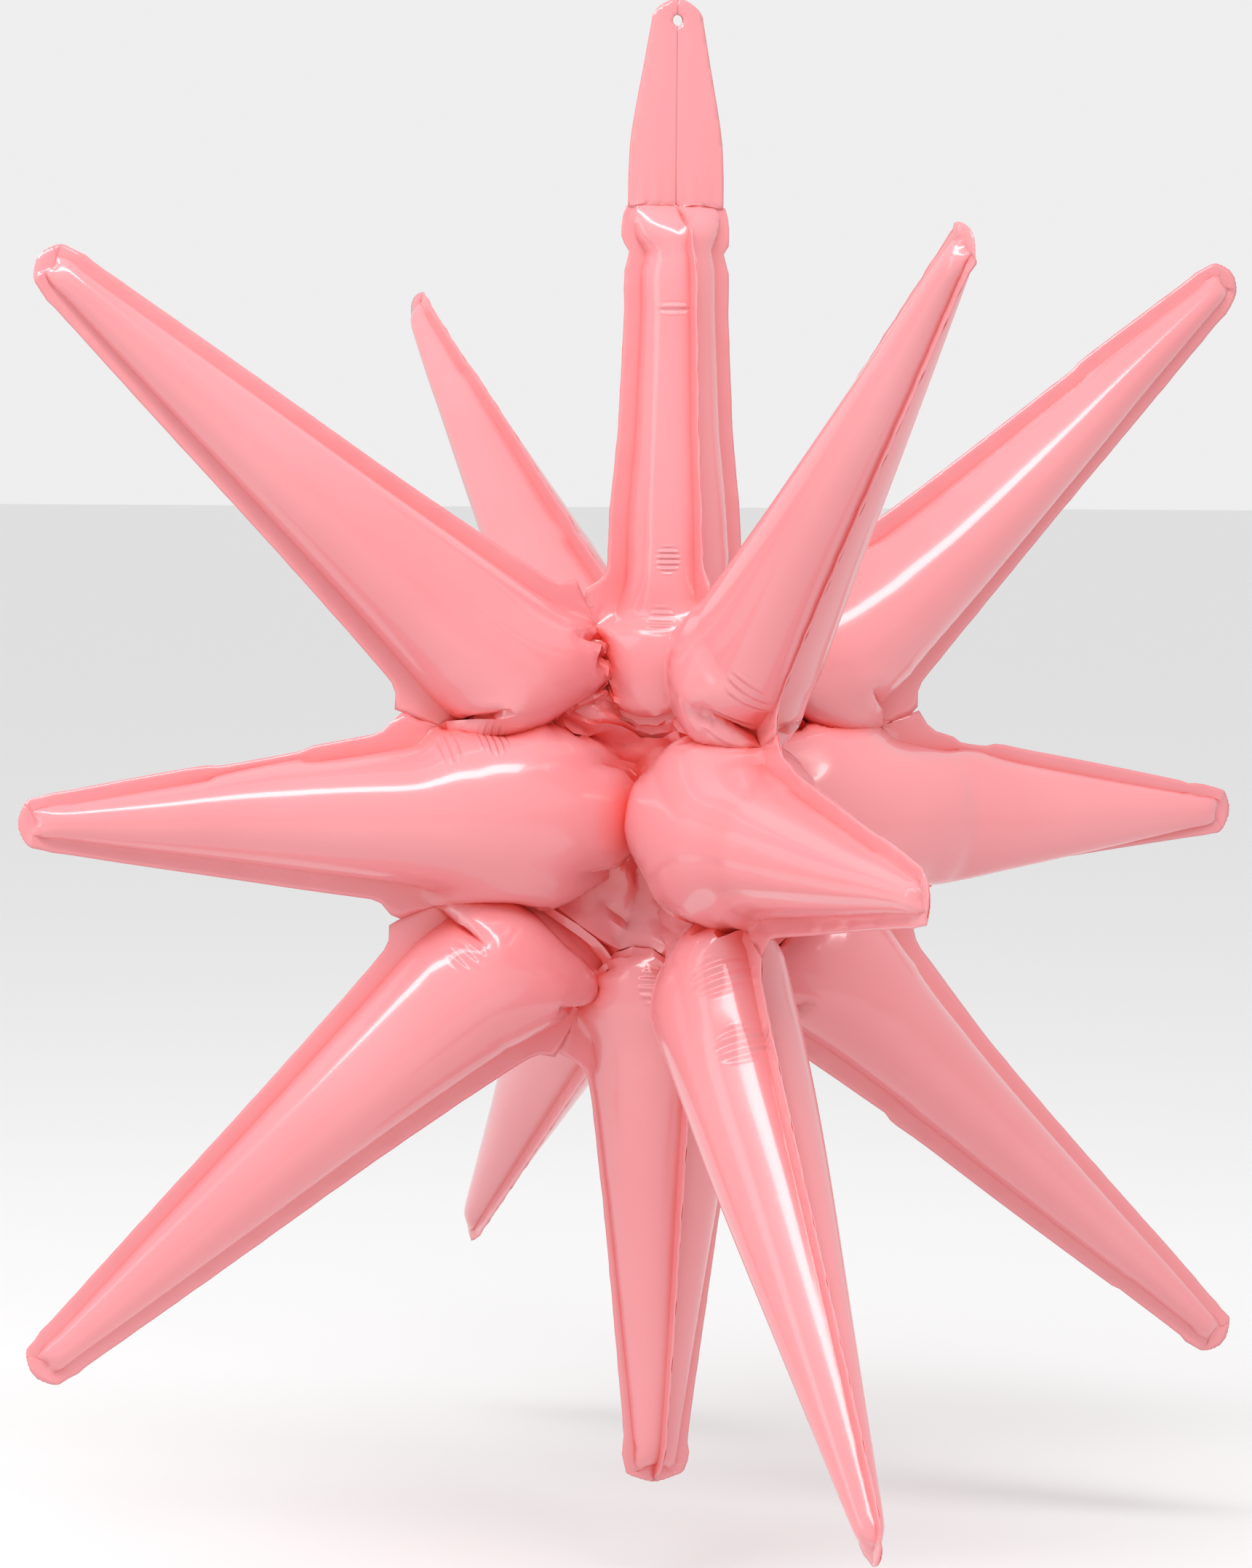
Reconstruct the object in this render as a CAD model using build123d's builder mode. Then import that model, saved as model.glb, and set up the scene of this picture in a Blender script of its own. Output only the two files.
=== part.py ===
"""Starburst foil balloon on a flat hanging tab.

Four star-shaped foil gores are heat-sealed along flat seams that lie in two upright
planes, X-Z and Y-Z.  The left and right arms lie in the first plane and the front and
rear arms in the second.  The top arm and the bottom arm belong to both.  Above the top
arm the four films run on as a flat tab with a punched hanging hole, and a two-film valve
lies between them.  The tab hinges on the balloon at the fold above the neck.

Units are millimetres.  The origin is the centre of the hanging hole, +Z is up, -Y is the
front and +X is the right.
"""

import os

from build123d import *

os.makedirs("parts", exist_ok=True)

# Films
film = 0.6  # wall of a gore or tab film
valve_film = 0.4  # wall of a valve film
seam_width = 5.5  # flat heat-sealed edge outside the inflated shape

# Hanging tab
hole_radius = 2.5
hole_to_tab_top = 10.0
hole_to_fold = 81.0
tab_width = 45.8  # at the fold
tab_shoulder_width = 32.6
tab_shoulder_drop = 25.6  # below the hole
tab_crown_width = 20.6
tab_crown_rise = 1.0  # above the hole

# Valve
valve_width = 16.0
valve_below_hole = 12.0  # mouth of the valve
valve_below_fold = 90.0  # free end inside the top arm
valve_clearance = 0.3  # each side of the valve's width
valve_end_gap = 0.2  # between a valve film's end and the fold's rounded edge

# Fold between tab and neck: each edge is a full round, set back from the hinge axis so
# that the two rounds clear each other at a right angle.
fold_clearance = 0.15

# Inflated star, measured from its centre
top_reach = 276.0  # to the fold
bottom_reach = 316.0
level_reach = 300.0
slant_reach = 384.0
slant_angle = 41.5  # slanting arms, above and below the level ones
core_radius = 66.0
bulb_centre = 60.0  # inner end of each arm's root bulb
shoulder_centre = 92.0  # where the root bulb turns into the tapering arm
root_radius = 38.5
tip_radius = 6.0
bottom_tip_radius = 9.5
lobe_radius = 8.0  # flat rounded seam at an arm's tip
bottom_lobe_radius = 13.0
valley_radius = 10.0  # seam's inside curve between two arms

# Top arm and its neck
top_root_radius = 31.0
neck_radius = 19.0
neck_length = 28.0  # from the flat fold down to the round arm
neck_band_height = 3.5  # films pressed flat below the fold
neck_half_width = tab_width / 2 - seam_width

# Sizes that follow
half_stack = film + valve_film
fold_setback = half_stack * 2**0.5 + fold_clearance
fold_z = -hole_to_fold
centre_z = fold_z - top_reach
neck_end = top_reach - neck_length
tab_end_z = fold_z + fold_setback - half_stack
neck_top_z = fold_z - fold_setback + half_stack
valve_slot_half = valve_width / 2 + valve_clearance
channel_height = hole_to_fold + 2 * hole_to_tab_top  # from the fold to above the tab
valley_limit = shoulder_centre + 2 * root_radius  # the corners between arms lie inside this
room = 2 * (slant_reach + top_reach)  # side of the box that picks a quarter of the star

star = Location((0, 0, centre_z))
ring_left_right = Plane(origin=(0, 0, centre_z), x_dir=(1, 0, 0), z_dir=(0, -1, 0))
ring_front_rear = Plane(origin=(0, 0, centre_z), x_dir=(0, 1, 0), z_dir=(1, 0, 0))


def save(piece, name):
    """Label a finished piece and write its STEP file."""
    piece.label = name
    export_step(piece, f"parts/{name}.step")


# ---------------------------------------------------------------- inflated volume
def arm_along_z(reach, tip, lobe, inset):
    """Teardrop arm from the star's centre along +Z: two root bulbs and a tip, in one hull."""
    with BuildPart() as arm:
        with BuildSketch(Plane.XZ) as profile:
            with Locations((0, reach - lobe - tip)):
                Circle(tip - inset)
            with Locations((0, shoulder_centre), (0, bulb_centre)):
                Circle(root_radius - inset)
            make_hull(profile.sketch_local.edges())
            split(bisect_by=Plane.YZ)
        revolve(axis=Axis.Z)
    return arm.part


def top_arm(inset):
    """Top arm: round above its bulb, then flattening to the fold."""
    with BuildPart() as arm:
        with BuildSketch(Plane.XZ) as profile:
            with BuildLine():
                Polyline(
                    (0, bulb_centre),
                    (top_root_radius - inset, bulb_centre),
                    (top_root_radius - inset, shoulder_centre),
                    (neck_radius - inset, neck_end),
                    (0, neck_end),
                    close=True,
                )
            make_face()
        revolve(axis=Axis.Z)
        with Locations((0, 0, bulb_centre)):
            Sphere(top_root_radius - inset)
        with BuildSketch(Plane.XY.offset(neck_end)):
            Circle(neck_radius - inset)
        flat_half_width = neck_half_width if inset == 0 else valve_slot_half
        with BuildSketch(Plane.XY.offset(top_reach - fold_setback)):
            Ellipse(flat_half_width, half_stack - inset)
        loft()
    return arm.part


def balloon_volume(inset):
    """Arms that a front left gore touches, with the core, all drawn in by inset."""
    slants = [
        Plane(origin=(0, 0, 0), z_dir=Vector(direction).rotate(axis, angle))
        for direction, axis in (((-1, 0, 0), Axis.Y), ((0, -1, 0), Axis.X))
        for angle in (slant_angle, -slant_angle)
    ]
    level = [Plane(origin=(0, 0, 0), z_dir=(-1, 0, 0)), Plane(origin=(0, 0, 0), z_dir=(0, -1, 0))]
    down = Plane(origin=(0, 0, 0), z_dir=(0, 0, -1))
    bottom_arm = arm_along_z(bottom_reach, bottom_tip_radius, bottom_lobe_radius, inset)
    level_arm = arm_along_z(level_reach, tip_radius, lobe_radius, inset)
    slant_arm = arm_along_z(slant_reach, tip_radius, lobe_radius, inset)
    with BuildPart(star) as volume:
        Sphere(core_radius - inset)
        add(top_arm(inset))
        add(bottom_arm.moved(down.location))
        for plane in level:
            add(level_arm.moved(plane.location))
        for plane in slants:
            add(slant_arm.moved(plane.location))
    return volume.part


# ---------------------------------------------------------------- heat-sealed seams
def seam_star(plane, fold_half_width):
    """Flat outline of one ring of eight arms, seam included, on the ring's own plane."""
    tips = [
        (angle + side, reach, radius)
        for side in (0, 180)
        for angle, reach, radius in (
            (0, level_reach, lobe_radius),
            (slant_angle, slant_reach, lobe_radius),
            (-slant_angle, slant_reach, lobe_radius),
        )
    ]
    tips.append((-90, bottom_reach, bottom_lobe_radius))
    with BuildSketch(plane) as outline:
        for angle, reach, radius in tips:
            lobe_centre = reach - radius
            taper = (root_radius + seam_width - radius) / (lobe_centre - shoulder_centre)
            with BuildSketch(mode=Mode.PRIVATE) as arm:
                Circle(radius + taper * lobe_centre)
                with PolarLocations(lobe_centre, 1, start_angle=angle):
                    Circle(radius)
                make_hull(arm.sketch.edges())
            add(arm.sketch)
        neck_edge = neck_radius + seam_width
        top_taper = (top_root_radius - neck_radius) / (neck_end - shoulder_centre)
        with BuildLine():
            Polyline(
                (fold_half_width, top_reach - fold_setback),
                (neck_edge, neck_end),
                (neck_edge + top_taper * neck_end, 0),
                (-neck_edge - top_taper * neck_end, 0),
                (-neck_edge, neck_end),
                (-fold_half_width, top_reach - fold_setback),
                close=True,
            )
        make_face()
        valleys = outline.vertices().filter_by(lambda corner: corner.center().length < valley_limit)
        fillet(valleys, valley_radius)
    return outline.sketch


# ---------------------------------------------------------------- four gores
with BuildPart(star) as front_left_quarter:
    Box(room, room, room, align=(Align.MAX, Align.MAX, Align.CENTER))

with BuildPart() as gore_front_left:
    add(balloon_volume(0))
    # Films pressed flat just below the fold, with a rounded edge at the hinge
    with BuildSketch(Plane.YZ):
        with Locations((0, fold_z - fold_setback)):
            Circle(half_stack)
            Rectangle(2 * half_stack, neck_band_height, align=(Align.CENTER, Align.MAX))
    extrude(amount=tab_width / 2, both=True)
    add(front_left_quarter.part, mode=Mode.INTERSECT)
    # Flat seams on the two upright planes
    left_seam = extrude(seam_star(ring_left_right, tab_width / 2), film, mode=Mode.PRIVATE)
    front_seam = extrude(seam_star(ring_front_rear, half_stack), -film, mode=Mode.PRIVATE)
    add(left_seam & front_left_quarter.part)
    add(front_seam & front_left_quarter.part)
    # The air space, and the slot through the neck that holds the valve
    add(balloon_volume(film), mode=Mode.SUBTRACT)
    with Locations((0, 0, fold_z)):
        Box(2 * valve_slot_half, 2 * valve_film, 2 * neck_band_height, mode=Mode.SUBTRACT)

gore_front_right = mirror(gore_front_left.part, about=Plane.YZ)
gore_rear_left = mirror(gore_front_left.part, about=Plane.XZ)
gore_rear_right = mirror(gore_front_right, about=Plane.XZ)

save(gore_front_left.part, "gore_front_left")
save(gore_front_right, "gore_front_right")
save(gore_rear_left, "gore_rear_left")
save(gore_rear_right, "gore_rear_right")


# ---------------------------------------------------------------- hanging tab
with BuildPart() as tab_front_left:
    with BuildSketch(Plane.XZ):
        with BuildLine():
            right_edge = Spline(
                (tab_width / 2, tab_end_z),
                (tab_shoulder_width / 2, -tab_shoulder_drop),
                (tab_crown_width / 2, tab_crown_rise),
                (0, hole_to_tab_top),
                tangents=((0, 1), (-1, 0)),
            )
            Line(right_edge @ 1, (0, tab_end_z))
            Line((0, tab_end_z), right_edge @ 0)
        make_face()
        mirror(about=Plane.YZ, mode=Mode.REPLACE)
    extrude(amount=half_stack)
    # Rounded edge at the fold
    with BuildSketch(Plane.YZ):
        with Locations((0, fold_z + fold_setback)):
            Circle(half_stack)
            Rectangle(2 * half_stack, channel_height, align=(Align.CENTER, Align.MIN))
    extrude(amount=tab_width, both=True, mode=Mode.INTERSECT)
    # Channel for the valve, open at the top edge where a straw goes in
    with Locations((0, 0, fold_z)):
        Box(2 * valve_slot_half, 2 * valve_film, 2 * channel_height, mode=Mode.SUBTRACT)
    with BuildSketch(Plane.XZ):
        Circle(hole_radius)
    extrude(amount=half_stack, mode=Mode.SUBTRACT)

tab_front_right = mirror(tab_front_left.part, about=Plane.YZ)
tab_rear_left = mirror(tab_front_left.part, about=Plane.XZ)
tab_rear_right = mirror(tab_front_right, about=Plane.XZ)

save(tab_front_left.part, "tab_front_left")
save(tab_front_right, "tab_front_right")
save(tab_rear_left, "tab_rear_left")
save(tab_rear_right, "tab_rear_right")


# ---------------------------------------------------------------- valve
with BuildPart() as valve_inlet_front:
    with BuildSketch(Plane.XZ):
        with Locations((0, -valve_below_hole)):
            Rectangle(
                valve_width,
                -valve_below_hole - tab_end_z - valve_end_gap,
                align=(Align.CENTER, Align.MAX),
            )
    extrude(amount=valve_film)

with BuildPart() as valve_sleeve_front:
    with BuildSketch(Plane.XZ):
        with Locations((0, fold_z - valve_below_fold)):
            Rectangle(
                valve_width,
                neck_top_z - valve_end_gap - (fold_z - valve_below_fold),
                align=(Align.CENTER, Align.MIN),
            )
    extrude(amount=valve_film)

save(valve_inlet_front.part, "valve_inlet_front")
save(mirror(valve_inlet_front.part, about=Plane.XZ), "valve_inlet_rear")
save(valve_sleeve_front.part, "valve_sleeve_front")
save(mirror(valve_sleeve_front.part, about=Plane.XZ), "valve_sleeve_rear")
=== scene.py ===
"""Looks of the starburst foil balloon. Its film is inflated here, from the flat pattern."""
import math
from collections import namedtuple

import bpy
import numpy as np
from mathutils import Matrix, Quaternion, Vector, geometry


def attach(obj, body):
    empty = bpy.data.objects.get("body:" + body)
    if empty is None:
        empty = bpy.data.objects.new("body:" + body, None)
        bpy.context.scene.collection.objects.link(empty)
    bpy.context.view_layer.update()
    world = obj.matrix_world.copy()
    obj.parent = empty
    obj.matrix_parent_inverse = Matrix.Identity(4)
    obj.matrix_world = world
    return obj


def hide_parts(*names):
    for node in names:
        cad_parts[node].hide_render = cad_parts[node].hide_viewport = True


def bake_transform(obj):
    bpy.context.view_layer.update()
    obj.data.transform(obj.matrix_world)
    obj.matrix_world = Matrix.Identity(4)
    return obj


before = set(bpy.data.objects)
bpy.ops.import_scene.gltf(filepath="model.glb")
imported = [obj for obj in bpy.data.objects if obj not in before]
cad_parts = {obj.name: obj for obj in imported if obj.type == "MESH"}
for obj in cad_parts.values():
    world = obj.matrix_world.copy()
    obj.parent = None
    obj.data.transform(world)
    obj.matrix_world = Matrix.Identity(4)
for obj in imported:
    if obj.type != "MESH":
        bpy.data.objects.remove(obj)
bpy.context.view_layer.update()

MM = 0.001

# ---------- Sizes, in millimetres unless a line says otherwise. The origin is the centre of the
# hanging hole, as in the frame.
FOLD_Z = -81.0                 # fold between the hanging tab and the balloon
TAB_TOP_Z = 10.0
TAB_WIDTH = 45.8
TAB_CROWN = (24.4, 0.0)        # full width and height where the round top starts
TAB_CROWN_POWER = 0.75         # roundness of the top, 0.5 is an ellipse and 1 a parabola
TAB_SIDES = ((-81, 22.9), (-70, 22.9), (-56, 22.3), (-47, 21.1), (-37.6, 19.4), (-28, 17.5),
             (-18.8, 15.7), (-9.4, 14.0))   # height and half width
HOLE_RADIUS = 2.5
TAB_HALF_GAP = 0.35            # from the tab's middle plane to the middle of each film
TAB_GRID = 2.0                 # spacing of the points in the tab's film
TAB_GROOVE = 0.8               # half width of the groove on the tab's centre seam
TAB_SLACK = 0.8                # how far the loose film between the seams stands out
TAB_CREASES = (0.45, 22.0)     # depth of the creases above the fold, and their height
CENTRE = np.array([0.0, 0.0, -357.0])   # middle of the star
SEAM_WIDTH = 5.5
NECK_HALF_WIDTH = 16.9         # half width of the inflated film where it ends, at the fold
NECK_COLLAR = 27.0             # height of the flattened, crumpled film under the fold
COLLAR_SPREAD = 3.0            # how far the collar stands out past the tab's edge
COLLAR_CORNER = 9.0            # height of its rounded corners
COLLAR_PRESS = 12.0            # height over which the two sides are pressed together
FOLD_ROOM = 0.3                # kept free under the fold, so that the tab can turn
TAB_LAP_Z = -83.5              # the tab's film runs on past the fold, over the neck
FILM = 0.3                     # thickness shown for one film
FOLD_FIN = 3.5                 # width of the side seams at the fold
TIP_FIN = 2.5                  # extra width of the seam at the very tip of an arm
FIN_COLUMNS = 3
FIN_WAVE = (0.35, 2.9, 11.3)   # height of the seam's ripple, and lengths of its two waves
VALLEY_FILLET = 11.0           # radius of the seam's edge in the corner between two arms
VALLEY_HALF_ANGLE = 28.0       # degrees
VALLEY_LIMIT = 0.98            # share of the fillet that is used

# Arms
ROOT_RADIUS = 38.9             # arm radius where the arms meet
TIP_RADIUS = 6.2
TIP_ROUNDING = 8.0             # length over which the end of an arm rounds off
TIP_END_SHARE = 0.6            # radius left at its very end, as a share of the tip's
ARM_SLOPE = 0.118              # how fast an arm narrows, for keeping films apart
ROOT_END = 92.0                # distance from the middle where the cone of an arm starts
NECK_PROFILE = ((70, 33.0), (137, 27.3), (171, 23.3), (224, 20.3), (240, 20.3),
                (249, 16.5), (258, 20.5), (267, 19.0), (275.4, 11.1))   # top arm's radii
BOTTOM_TIP_RADIUS = 9.5

# Arms by kind: distance from the middle of the star to the end of the inflated arm and to its
# notches, film from the middle of a gore to those notches, extra film because an arm draws in
# as it is blown up, and distance and radius of the round bulb that the arm starts in.
Kind = namedtuple("Kind", "reach notch root_film slack bulb")
KINDS = {
    "top": Kind(275.4, 86.0, 98.0, 10.0, (58.0, 33.0)),
    "bottom": Kind(303.0, 94.0, 110.0, 10.0, (82.0, 37.0)),
    "level": Kind(292.0, 108.0, 116.0, -1.0, (57.0, 38.0)),
    "upper": Kind(376.0, 108.0, 130.0, 19.0, (113.0, 37.0)),
    "lower": Kind(376.0, 108.0, 130.0, 12.0, (113.0, 37.0)),
}
TOP_REACH = KINDS["top"].reach

NOTCH_MARGIN = 2.0             # how far a notch stands off the arms on both sides of it
BULB_CLOSING = 1.30            # radians of each bulb's round end that are full film
ROOT_ROWS = 14                 # rows of film from the middle of a gore to the notches
GRID = 9.0                     # side of a triangle before the film is refined
START_DISTANCE = 18.0          # of the middle of each gore from the star's, before inflation
START_CONE = 0.37              # widest an arm is before inflation, for its distance out

# Creases run from each notch in between the bulbs, and each gore's middle is drawn in to a pocket.
POCKET = 30.0
HUB_BEND = 24.0                # where creases turn towards the pocket
CREASE_OUT = 4.0               # how far a crease stands off the seam plane where two bulbs meet
CREASE_DEPTH = 42.0            # length of film from the notch to where two bulbs meet
ROOT_DEPTH = 120.0             # length of film from a notch to the middle of a gore
CREASE_TURN = 1.7              # above 1, a crease stays by the seam plane for longer
CREASE_HOLD = 0.5              # share of the way to its place that a crease moves in a step
BULB_END = (-0.1, 1.25)        # radians round the end of the top and bottom bulbs that are held
BULB_END_HOLD = 0.25
WEB_SLACK = 1.5                # extra width of film in the web, which crumples
WEB_START = 70.0               # inside this length of film, a slanting arm's film is web, not bulb
WEB_HOLD = 0.06
CRUMPLE = 0.12                 # share by which loose web film is too long for its place
CRUMPLE_JITTER = 0.4           # random start of the buckles
LOOSE_GIVE = 0.5               # how much of its slack an edge of loose film takes up in a step
TIGHT_GIVE = 0.12
FINE_CREASE_SHARE = 0.6        # how much more weakly creases are held on the fine film
NECK_HOLD = 0.5

# Pressure and number of steps of each stage. In the first, the arms' contact surfaces grow.
STAGES = ((0.12, 150), (0.05, 150), (0.03, 120))
GROWN_FROM = 0.4               # share of full size
GROWN_AFTER = 100              # steps
FINE_STAGE = (0.012, 90)
ARM_HOLD = 0.3
ARM_HOLD_START = 30.0          # an arm is held straight from this far past its notches
SEAM_HOLD = 0.3
CONTACT_RANGE = 60.0           # film up to this far past an arm's notches is kept off other arms
NEAR_ARMS = -0.1               # cosine between two arms that can touch

# Camera and stage
CAMERA_AZIMUTH = -21.25        # degrees, here and in the next two
CAMERA_ELEVATION = 5.09
CAMERA_ROLL = 0.55
CAMERA_DISTANCE = 1.8          # metres
LENS = 90.3
SENSOR_WIDTH = 36
SHIFT = (-0.0281, 0.0175)
FLOOR_Z = -0.72                # metres
FLOOR_HALF = 40.0              # metres
FLOOR_COLOUR = (0.85, 0.85, 0.85, 1)
WORLD_STRENGTH = 0.86
LIGHTS = (
    # name, then metres right, up and towards the camera from the star, size, watts
    ("key", -0.2, 1.35, 0.95, (2.4, 0.32), 25),
    ("side", -1.5, 0.35, 0.7, (0.4, 1.3), 3),
)

# Colours
FOIL_LIGHT = (0.79, 0.285, 0.305, 1)
FOIL_DARK = (0.76, 0.25, 0.27, 1)
# painted shade: a deep red mixed into the film's colour wherever ambient occlusion finds crevices
FOIL_PAINTED_CREVICE_SHADE = (0.93, 0.09, 0.05, 1)
VALVE_LIGHT = (0.85, 0.82, 0.80, 1)
VALVE_DARK = (0.75, 0.72, 0.70, 1)

# Directions of the arms, in degrees. LEAN is how far each turns and rises off the regular star.
SLANT_ELEVATION = 41.3
AZIMUTH = {"left": 180.0, "right": 0.0, "front": -90.0, "rear": 90.0}
LEAN = {
    "upper_left": (-0.4, -1.1),
    "upper_right": (0.0, 0.1),
    "upper_front": (2.2, -0.4),
    "upper_rear": (6.5, -1.7),
    "left": (-0.5, 0.3),
    "right": (1.8, -1.4),
    "front": (-1.2, -1.8),
    "rear": (0.0, 0.0),
    "lower_left": (-0.4, 2.1),
    "lower_right": (-5.4, -1.7),
    "lower_front": (-2.7, -4.4),
    "lower_rear": (0.0, 0.8),
}

# Directions of the two end arms, and the arms round each gore in order
UPRIGHT = {"top": (0.0, 0.0, 1.0), "bottom": (-0.013, 0.005, -1.0)}
GORES = {
    "front_left": ("top", "upper_left", "left", "lower_left",
                   "bottom", "lower_front", "front", "upper_front"),
    "front_right": ("top", "upper_front", "front", "lower_front",
                    "bottom", "lower_right", "right", "upper_right"),
    "rear_right": ("top", "upper_right", "right", "lower_right",
                   "bottom", "lower_rear", "rear", "upper_rear"),
    "rear_left": ("top", "upper_rear", "rear", "lower_rear",
                  "bottom", "lower_left", "left", "upper_left"),
}
RANDOM = np.random.default_rng(7)


def unit(vector):
    return np.asarray(vector, float) / np.linalg.norm(vector)


def arm_direction(name):
    if name in UPRIGHT:
        return unit(UPRIGHT[name])
    turn, rise = LEAN[name]
    level = {"upper": SLANT_ELEVATION, "lower": -SLANT_ELEVATION}.get(name.split("_")[0], 0.0)
    azimuth = math.radians(AZIMUTH[name.split("_")[-1]] + turn)
    elevation = math.radians(level + rise)
    return np.array([math.cos(elevation) * math.cos(azimuth),
                     math.cos(elevation) * math.sin(azimuth),
                     math.sin(elevation)])


ARMS = list(UPRIGHT) + list(LEAN)
AXIS = {name: arm_direction(name) for name in ARMS}


def gore_diagonal(gore):
    x = -1.0 if "left" in gore else 1.0
    y = -1.0 if "front" in gore else 1.0
    return unit((x, y, 0.0))


# ---------- Flat pattern
def is_end_arm(name):
    return name in UPRIGHT


def is_slanting(name):
    return "_" in name


def kind(name):
    return KINDS.get(name.split("_")[0], KINDS["level"])


def flat_length(name):
    arm = kind(name)
    return arm.root_film + arm.reach - arm.notch + arm.slack


def arm_radius(name, distance):
    if name == "top":
        return float(np.interp(distance, *zip(*NECK_PROFILE)))
    end = kind(name).reach
    tip = BOTTOM_TIP_RADIUS if name == "bottom" else TIP_RADIUS
    cone = np.interp(distance, (ROOT_END, end - TIP_ROUNDING), (ROOT_RADIUS, tip))
    return float(np.interp(distance, (end - TIP_ROUNDING, end), (cone, tip * TIP_END_SHARE)))


def quarter_turns(name):
    """The film of a gore goes a quarter of the way round an end arm and half round any other."""
    return 1 if is_end_arm(name) else 2


def arm_width(name, along):
    """Width of film at a length from the middle of a gore: web, then a round bulb, then the arm."""
    arm = kind(name)
    notch = arm.root_film
    turns = quarter_turns(name) * math.pi / 2
    if along > notch:
        share = (along - notch) / (flat_length(name) - notch)
        distance = arm.notch + share * (arm.reach - arm.notch)
        return turns * arm_radius(name, distance)
    centre, radius = arm.bulb
    distance = arm.notch - (notch - along)
    full = turns * arm_radius(name, distance)
    beyond = (centre - distance) / radius
    if beyond <= 0:
        return full
    closed_along = notch - arm.notch + centre - BULB_CLOSING * radius
    if along > closed_along:
        return full * math.cos(beyond)
    web_width = full * math.cos(BULB_CLOSING) * (WEB_SLACK if is_slanting(name) else 1.0)
    return web_width * along / closed_along


class Film:
    """Triangles of all four gores, joined along their seams, with what each vertex belongs to."""

    def __init__(self):
        self.keys = {}
        self.places = []
        self.arms = []
        self.along = []
        self.outward = []
        self.seam_arms = []
        self.fin = []
        self.triangles = []
        self.flat = []
        self.gore = []

    def vertex(self, key, arm, along):
        if key not in self.keys:
            self.keys[key] = len(self.places)
            self.places.append([])
            self.arms.append(set())
            self.along.append(along)
            self.outward.append(None)
            self.seam_arms.append(None)
            self.fin.append(0.0)
        index = self.keys[key]
        self.arms[index].add(arm)
        return index


def across(axis, other):
    """Unit direction square to an arm's axis, towards another direction."""
    return unit(other - axis * (other @ axis))


def lay_out_pattern(grid):
    """All four gores, with places for their film before it is blown up."""
    film = Film()
    for gore_index, (gore, ring) in enumerate(GORES.items()):
        for k, name in enumerate(ring):
            before = ring[k - 1]
            after = ring[(k + 1) % 8]
            rows = lay_out_arm(film, gore_index, gore, (before, name, after), grid)
            for row, next_row in zip(rows[:-1], rows[1:]):
                stitch_rows(film, gore_index, row, next_row)
    film.places = np.array([np.mean(p, 0) for p in film.places])
    film.triangles = np.array(film.triangles)
    film.flat = np.array(film.flat, float)
    film.gore = np.array(film.gore)
    turn_all_outward(film)
    return film


def vertex_key(gore_index, names, row, rows, column, columns):
    """What a vertex is. Vertices of different gores that a seam joins have the same key."""
    before, name, after = names
    edge = before if column == 0 else after
    on_edge = column in (0, columns)
    if row == 0:
        return (gore_index, "middle")
    if row < ROOT_ROWS and on_edge:
        return (gore_index, frozenset((name, edge)), row)
    if row == ROOT_ROWS and on_edge:
        return ("notch", frozenset((name, edge)))
    if row == rows - 1:
        if not is_end_arm(name):
            upper_first = AXIS[before][2] > AXIS[after][2]
            return (name, "end", column if upper_first else columns - column)
        side_arm = before if before.endswith(("left", "right")) else after
        step = column if side_arm == before else columns - column
        return (name, "end", "middle") if step == columns else (name, "end", side_arm, step)
    if row > ROOT_ROWS and on_edge:
        return (name, "seam", edge, row)
    return (gore_index, name, row, column)


def lay_out_arm(film, gore_index, gore, names, grid):
    """Rows of vertices of one arm of one gore, from the gore's middle out to the arm's tip."""
    before, name, after = names
    axis = AXIS[name]
    side_a = across(axis, AXIS[before])
    side_b = across(axis, AXIS[after])
    facing = gore_diagonal(gore)
    facing = facing - axis * (facing @ axis)
    if not is_end_arm(name):
        facing = unit(facing - side_a * (facing @ side_a))
    arm = kind(name)
    notch = arm.root_film
    length = flat_length(name)
    outer_rows = int(round((length - notch) / grid))
    heights = [notch * i / ROOT_ROWS for i in range(ROOT_ROWS + 1)]
    heights += [notch + (length - notch) * i / outer_rows for i in range(1, outer_rows + 1)]
    base_columns = int(round(arm_width(name, notch) / grid))
    rows = []
    for i, along in enumerate(heights):
        width = arm_width(name, along)
        columns = max(1, int(round(width / grid))) if i <= ROOT_ROWS else base_columns
        columns = 0 if i == 0 else columns
        distance = START_DISTANCE + (arm.notch - START_DISTANCE) * along / notch
        if along > notch:
            distance = arm.notch + along - notch
        radius = min(width / (quarter_turns(name) * math.pi / 2), distance * START_CONE)
        row = []
        for j in range(columns + 1):
            t = j / max(columns, 1)
            key = vertex_key(gore_index, names, i, len(heights), j, columns)
            index = film.vertex(key, name, along)
            if is_end_arm(name):
                round_angle = math.pi / 2 * t
                across_arm = math.cos(round_angle) * side_a + math.sin(round_angle) * side_b
            else:
                round_angle = math.pi * t
                across_arm = math.cos(round_angle) * side_a + math.sin(round_angle) * facing
            film.places[index].append(axis * distance + radius * across_arm)
            mark_seam(film, index, key, names, t)
            row.append((index, (along, (t - 0.5) * width), t))
        rows.append(row)
    return rows


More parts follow.
